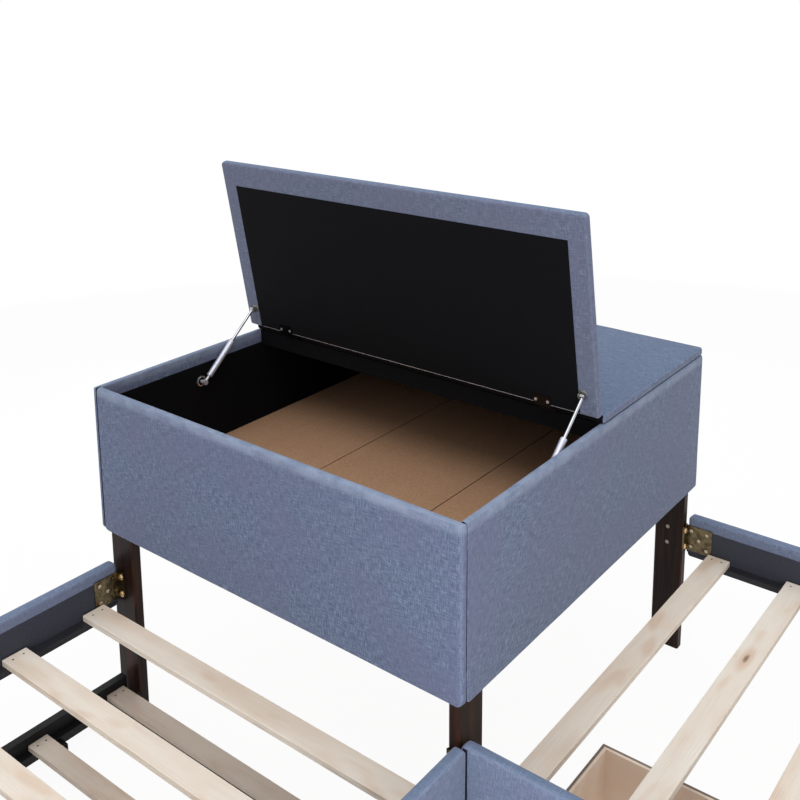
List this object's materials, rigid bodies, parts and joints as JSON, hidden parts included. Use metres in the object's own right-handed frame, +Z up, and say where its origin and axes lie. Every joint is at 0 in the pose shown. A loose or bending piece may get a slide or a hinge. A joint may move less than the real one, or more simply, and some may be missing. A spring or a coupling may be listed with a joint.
{
  "type": "platform bed",
  "caption": "L-shaped upholstered platform bed: slatted frames at right angles to a square corner table with a flip-up storage lid on gas struts, a pull-out trundle and rolling drawers.",
  "frame": {"origin": "on the floor, under the middle of the whole L-shaped footprint's bounding box", "axes": "+Z up; bed A runs from the corner table towards -Y and bed B towards +X, so the inside of the L faces +X and -Y"},
  "size_m": [3.046, 3.05, 1.2964],
  "materials": {
    "upholstery": "blue-grey melange linen weave over padded boards",
    "black_lining": "black non-woven lining",
    "espresso_wood": "espresso stain, semi-gloss",
    "fibre_board": "bare brown hardboard, matte",
    "black_wood": "black-painted wood, matte",
    "pine": "bare sanded pine",
    "hinge_steel": "dark steel",
    "bright_screw": "bright zinc",
    "strut_chrome": "polished chrome",
    "strut_silver": "silver paint, satin",
    "yellow_zinc": "yellow passivated zinc",
    "castor_steel": "pressed zinc-plated steel",
    "wheel_plastic": "black nylon"
  },
  "bodies": {
    "frame": {"table_panel_front": "upholstery", "table_panel_right": "upholstery", "table_panel_back": "upholstery", "table_panel_left": "upholstery", "linings": "black_lining", "table_floor_boards": "fibre_board", "table_battens": "black_wood", "table_leg_left": "espresso_wood", "table_leg_near": "espresso_wood", "table_leg_right": "espresso_wood", "table_leg_back": "espresso_wood", "table_top_fixed": "upholstery", "hinge_rail": "black_wood", "hinge_fixed_leaves": "hinge_steel", "hinge_fixed_screws": "bright_screw", "hinge_pins": "hinge_steel", "strut_wall_studs": "strut_chrome", "bed_a_rail_outer": "upholstery", "bed_a_rail_inner": "upholstery", "bed_a_rail_foot": "upholstery", "bed_a_cleats": "black_wood", "bed_a_slats": "pine", "foot_legs": "espresso_wood", "bracket_leg_plates": "yellow_zinc", "bracket_rail_plates": "yellow_zinc", "bracket_screws": "yellow_zinc", "bed_b_rail_inner": "upholstery", "bed_b_rail_outer": "upholstery", "bed_b_rail_foot": "upholstery", "bed_b_cleats": "black_wood", "bed_b_slats": "pine", "leg_nuts": "bright_screw"},
    "lid": {"lid": "upholstery", "lid_lining": "black_lining", "hinge_lid_leaves": "hinge_steel", "hinge_lid_screws": "bright_screw", "strut_lid_brackets": "strut_chrome"},
    "strut_left_rod": {"strut_left_rod": "strut_chrome"},
    "strut_left_tube": {"strut_left_tube": "strut_silver"},
    "strut_right_rod": {"strut_right_rod": "strut_chrome"},
    "strut_right_tube": {"strut_right_tube": "strut_silver"},
    "trundle": {"trundle_rail_back": "black_wood", "trundle_rail_front": "black_wood", "trundle_bearers": "black_wood", "trundle_slats": "pine", "trundle_front_panel": "upholstery", "trundle_castors": "castor_steel"},
    "trundle_wheels_front": {"trundle_wheels_front": "wheel_plastic"},
    "trundle_wheels_rear": {"trundle_wheels_rear": "wheel_plastic"},
    "drawer_near": {"drawer_near_front": "upholstery", "drawer_near_box": "pine", "drawer_near_castors": "castor_steel"},
    "drawer_near_wheels_front": {"drawer_near_wheels_front": "wheel_plastic"},
    "drawer_near_wheels_rear": {"drawer_near_wheels_rear": "wheel_plastic"},
    "drawer_far": {"drawer_far_front": "upholstery", "drawer_far_box": "pine", "drawer_far_castors": "castor_steel"},
    "drawer_far_wheels_front": {"drawer_far_wheels_front": "wheel_plastic"},
    "drawer_far_wheels_rear": {"drawer_far_wheels_rear": "wheel_plastic"}
  },
  "joints": [
    {"name": "lid_hinge", "type": "hinge", "parent": "frame", "child": "lid", "pos_m": [-0.993, 0.978, 0.8345], "axis": [1, 0, 0], "range_deg": [0, 79.5], "stiffness_Nm_per_rad": 1.5, "springref_deg": -103.13},
    {"name": "strut_left_pivot", "type": "hinge", "parent": "lid", "child": "strut_left_rod", "pos_m": [-1.491, 0.94248, 0.88894], "axis": [1, 0, 0], "range_deg": [-95.4, 0.5]},
    {"name": "strut_left_slide", "type": "slide", "parent": "strut_left_rod", "child": "strut_left_tube", "axis": [0, 0.7525, 0.6585], "range_m": [-0.0005, 0.06534]},
    {"name": "strut_right_pivot", "type": "hinge", "parent": "lid", "child": "strut_right_rod", "pos_m": [-0.495, 0.94248, 0.88894], "axis": [1, 0, 0], "range_deg": [-95.4, 0.5]},
    {"name": "strut_right_slide", "type": "slide", "parent": "strut_right_rod", "child": "strut_right_tube", "axis": [0, 0.7525, 0.6585], "range_m": [-0.0005, 0.06534]},
    {"name": "trundle_slide", "type": "slide", "parent": "frame", "child": "trundle", "axis": [1, 0, 0], "range_m": [0, 0.95]},
    {"name": "trundle_front_axle", "type": "hinge", "parent": "trundle", "child": "trundle_wheels_front", "pos_m": [-0.541, -0.4985, 0.017], "axis": [0, 1, 0], "continuous": true},
    {"name": "trundle_rear_axle", "type": "hinge", "parent": "trundle", "child": "trundle_wheels_rear", "pos_m": [-1.433, -0.4985, 0.017], "axis": [0, 1, 0], "continuous": true},
    {"name": "drawer_near_slide", "type": "slide", "parent": "frame", "child": "drawer_near", "axis": [0, 1, 0], "range_m": [-0.3, 0]},
    {"name": "drawer_near_front_axle", "type": "hinge", "parent": "drawer_near", "child": "drawer_near_wheels_front", "pos_m": [0.027, 0.556, 0.017], "axis": [1, 0, 0], "continuous": true},
    {"name": "drawer_near_rear_axle", "type": "hinge", "parent": "drawer_near", "child": "drawer_near_wheels_rear", "pos_m": [0.027, 0.78, 0.017], "axis": [1, 0, 0], "continuous": true},
    {"name": "drawer_far_slide", "type": "slide", "parent": "frame", "child": "drawer_far", "axis": [0, 1, 0], "range_m": [-0.3, 0]},
    {"name": "drawer_far_front_axle", "type": "hinge", "parent": "drawer_far", "child": "drawer_far_wheels_front", "pos_m": [0.989, 0.556, 0.017], "axis": [1, 0, 0], "continuous": true},
    {"name": "drawer_far_rear_axle", "type": "hinge", "parent": "drawer_far", "child": "drawer_far_wheels_rear", "pos_m": [0.989, 0.78, 0.017], "axis": [1, 0, 0], "continuous": true}
  ],
  "couplings": [
    {"joint": "strut_left_pivot", "follows": "lid_hinge", "ratio": -1.1938},
    {"joint": "strut_left_slide", "follows": "lid_hinge", "m_per_rad": 0.046727},
    {"joint": "strut_right_pivot", "follows": "lid_hinge", "ratio": -1.1938},
    {"joint": "strut_right_slide", "follows": "lid_hinge", "m_per_rad": 0.046727}
  ]
}
